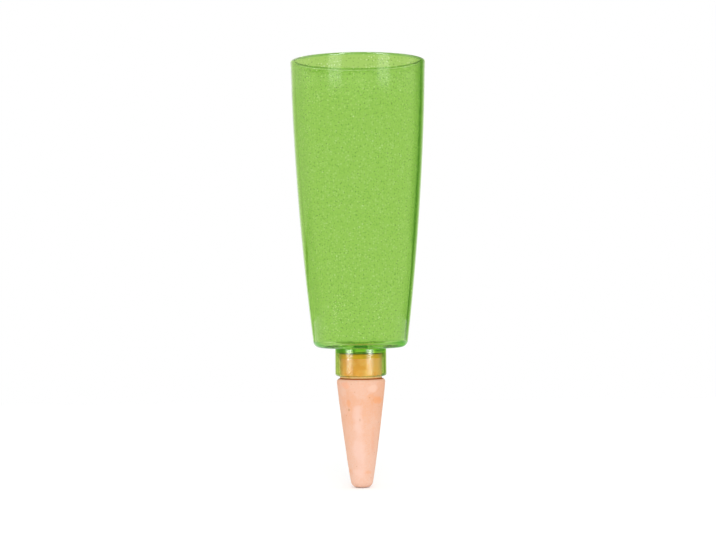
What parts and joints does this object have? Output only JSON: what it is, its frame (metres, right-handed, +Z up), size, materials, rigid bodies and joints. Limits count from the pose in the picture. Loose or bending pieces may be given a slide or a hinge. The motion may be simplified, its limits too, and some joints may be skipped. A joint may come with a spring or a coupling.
{
  "type": "self watering spike",
  "caption": "Tall open see-through water cup on a short neck, with a hollow porous clay cone bonded into the neck that is pushed into potting soil and lets water seep out.",
  "frame": {"origin": "on the axis at the lower end of the neck, the level that the soil comes up to when the clay cone is pushed in", "axes": "+Z up along the axis of the spike, from the clay tip to the open rim; the part is round, so X and Y are any pair across it"},
  "size_m": [0.075, 0.075, 0.2381],
  "materials": {
    "reservoir_plastic": "clear green plastic, dyed through, with fine air bubbles in the wall",
    "cone_clay": "unglazed porous fired clay, matt, slightly mottled",
    "bond_sealant": "cured sealant, satin"
  },
  "bodies": {
    "root": {"water_reservoir": "reservoir_plastic", "clay_cone": "cone_clay", "bond_ring": "bond_sealant"}
  },
  "joints": []
}
